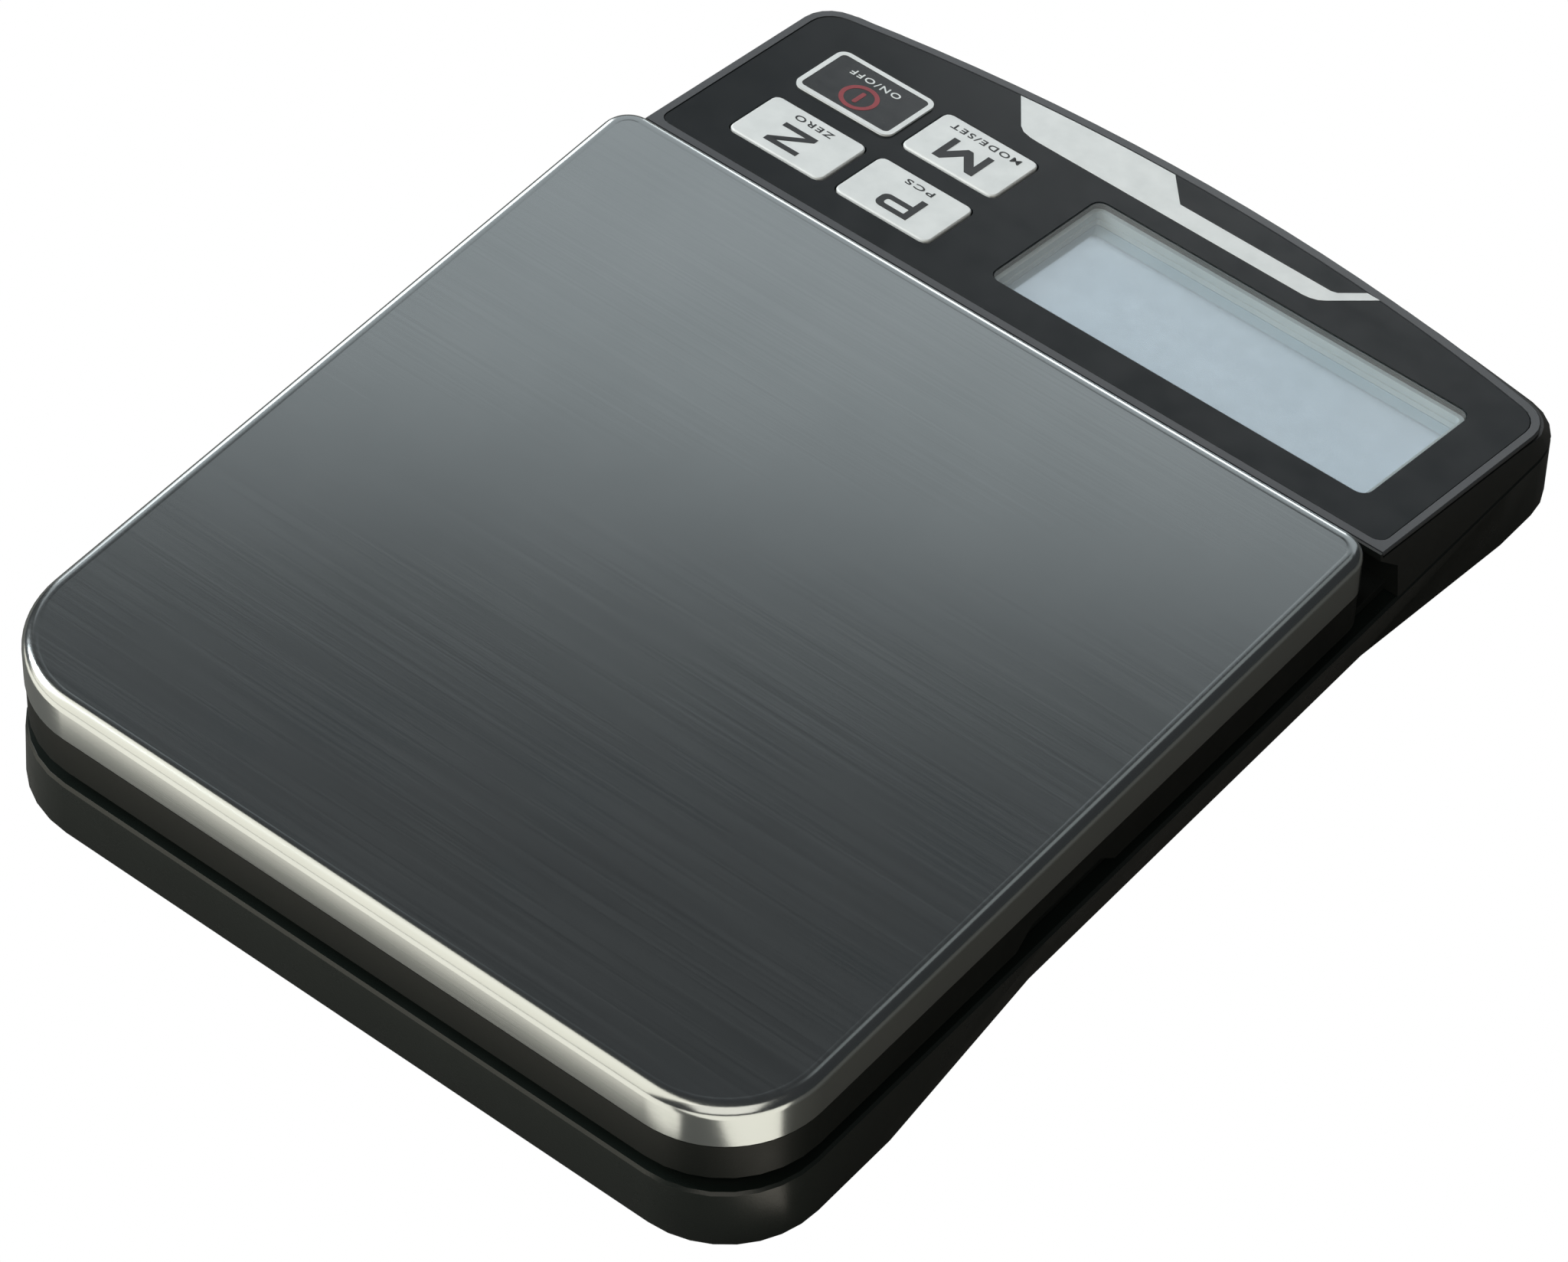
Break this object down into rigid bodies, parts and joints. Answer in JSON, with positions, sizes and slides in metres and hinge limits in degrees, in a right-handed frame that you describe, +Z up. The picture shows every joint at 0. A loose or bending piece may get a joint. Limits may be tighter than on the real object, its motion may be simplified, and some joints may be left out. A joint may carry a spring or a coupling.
{
  "type": "digital gram scale",
  "caption": "Compact bench scale with a brushed steel weighing tray on a load cell, and a sloped head with a display and keys.",
  "frame": {"origin": "centre of the footprint, on the surface that the feet rest on", "axes": "+Z up; the user stands at -Y in front of the display head, and the weighing tray lies towards +Y; +X is the user's right"},
  "size_m": [0.1458, 0.2074, 0.0318],
  "materials": {
    "black_plastic": "fine satin grain",
    "bezel_plastic": "satin dark grey",
    "brushed_steel": "fine straight brushing across the tray, polished rolled edge",
    "label_film": "glossy near-black film",
    "clear_window": "clear polished acrylic",
    "display_glass": "pale blue-grey liquid crystal",
    "white_key": "printed light grey",
    "black_key": "printed black with a light outline",
    "aluminium": "machined",
    "screw_steel": "plated",
    "rubber": "matt",
    "green_board": "solder mask",
    "white_plastic": "smooth",
    "battery_jacket": "printed sleeve, plain",
    "cable_jacket": "soft insulation"
  },
  "bodies": {
    "base": {"base_shell": "black_plastic", "upper_housing": "black_plastic", "label_bezel": "bezel_plastic", "front_label": "label_film", "lcd_window": "clear_window", "lcd_glass": "display_glass", "lcd_backlight": "white_plastic", "lcd_frame": "white_plastic", "connector_strip": "rubber", "main_board": "green_board", "main_chip": "label_film", "dome_power": "screw_steel", "dome_zero": "screw_steel", "dome_mode": "screw_steel", "dome_pieces": "screw_steel", "load_cell": "aluminium", "cell_base_plate": "screw_steel", "cell_base_screw_1": "screw_steel", "cell_base_screw_2": "screw_steel", "battery_1": "battery_jacket", "battery_2": "battery_jacket", "battery_3": "battery_jacket", "battery_contact_1": "screw_steel", "battery_contact_2": "screw_steel", "battery_contact_3": "screw_steel", "battery_spring_1": "screw_steel", "battery_spring_2": "screw_steel", "battery_spring_3": "screw_steel", "cell_cable": "cable_jacket", "battery_lead": "cable_jacket", "foot_front_left": "rubber", "foot_front_right": "rubber", "foot_rear_left": "rubber", "foot_rear_right": "rubber", "housing_screw_front_left": "screw_steel", "housing_screw_front_right": "screw_steel", "housing_screw_rear_left": "screw_steel", "housing_screw_rear_right": "screw_steel"},
    "platform": {"platform_carrier": "black_plastic", "cell_top_plate": "screw_steel", "cell_top_screw_1": "screw_steel", "cell_top_screw_2": "screw_steel"},
    "tray": {"weighing_tray": "brushed_steel"},
    "power_key": {"key_power": "black_key"},
    "zero_key": {"key_zero": "white_key"},
    "mode_key": {"key_mode": "white_key"},
    "pieces_key": {"key_pieces": "white_key"},
    "door": {"battery_door": "black_plastic"}
  },
  "joints": [
    {"name": "load_deflection", "type": "slide", "parent": "base", "child": "platform", "axis": [0, 0, 1], "range_m": [-0.0003, 0], "stiffness_N_per_m": 16000, "springref_m": 0.0003},
    {"name": "tray_lift", "type": "slide", "parent": "platform", "child": "tray", "axis": [0, 0, 1], "range_m": [0, 0.05]},
    {"name": "power_press", "type": "slide", "parent": "base", "child": "power_key", "axis": [0, 0.1771, -0.9842], "range_m": [0, 0.0005], "stiffness_N_per_m": 1500, "springref_m": -0.0003},
    {"name": "zero_press", "type": "slide", "parent": "base", "child": "zero_key", "axis": [0, 0.1771, -0.9842], "range_m": [0, 0.0005], "stiffness_N_per_m": 1500, "springref_m": -0.0003},
    {"name": "mode_press", "type": "slide", "parent": "base", "child": "mode_key", "axis": [0, 0.1771, -0.9842], "range_m": [0, 0.0005], "stiffness_N_per_m": 1500, "springref_m": -0.0003},
    {"name": "pieces_press", "type": "slide", "parent": "base", "child": "pieces_key", "axis": [0, 0.1771, -0.9842], "range_m": [0, 0.0005], "stiffness_N_per_m": 1500, "springref_m": -0.0003},
    {"name": "door_swing", "type": "hinge", "parent": "base", "child": "door", "pos_m": [0, -0.0467, 0.0015], "axis": [-1, 0, 0], "range_deg": [0, 80]}
  ]
}
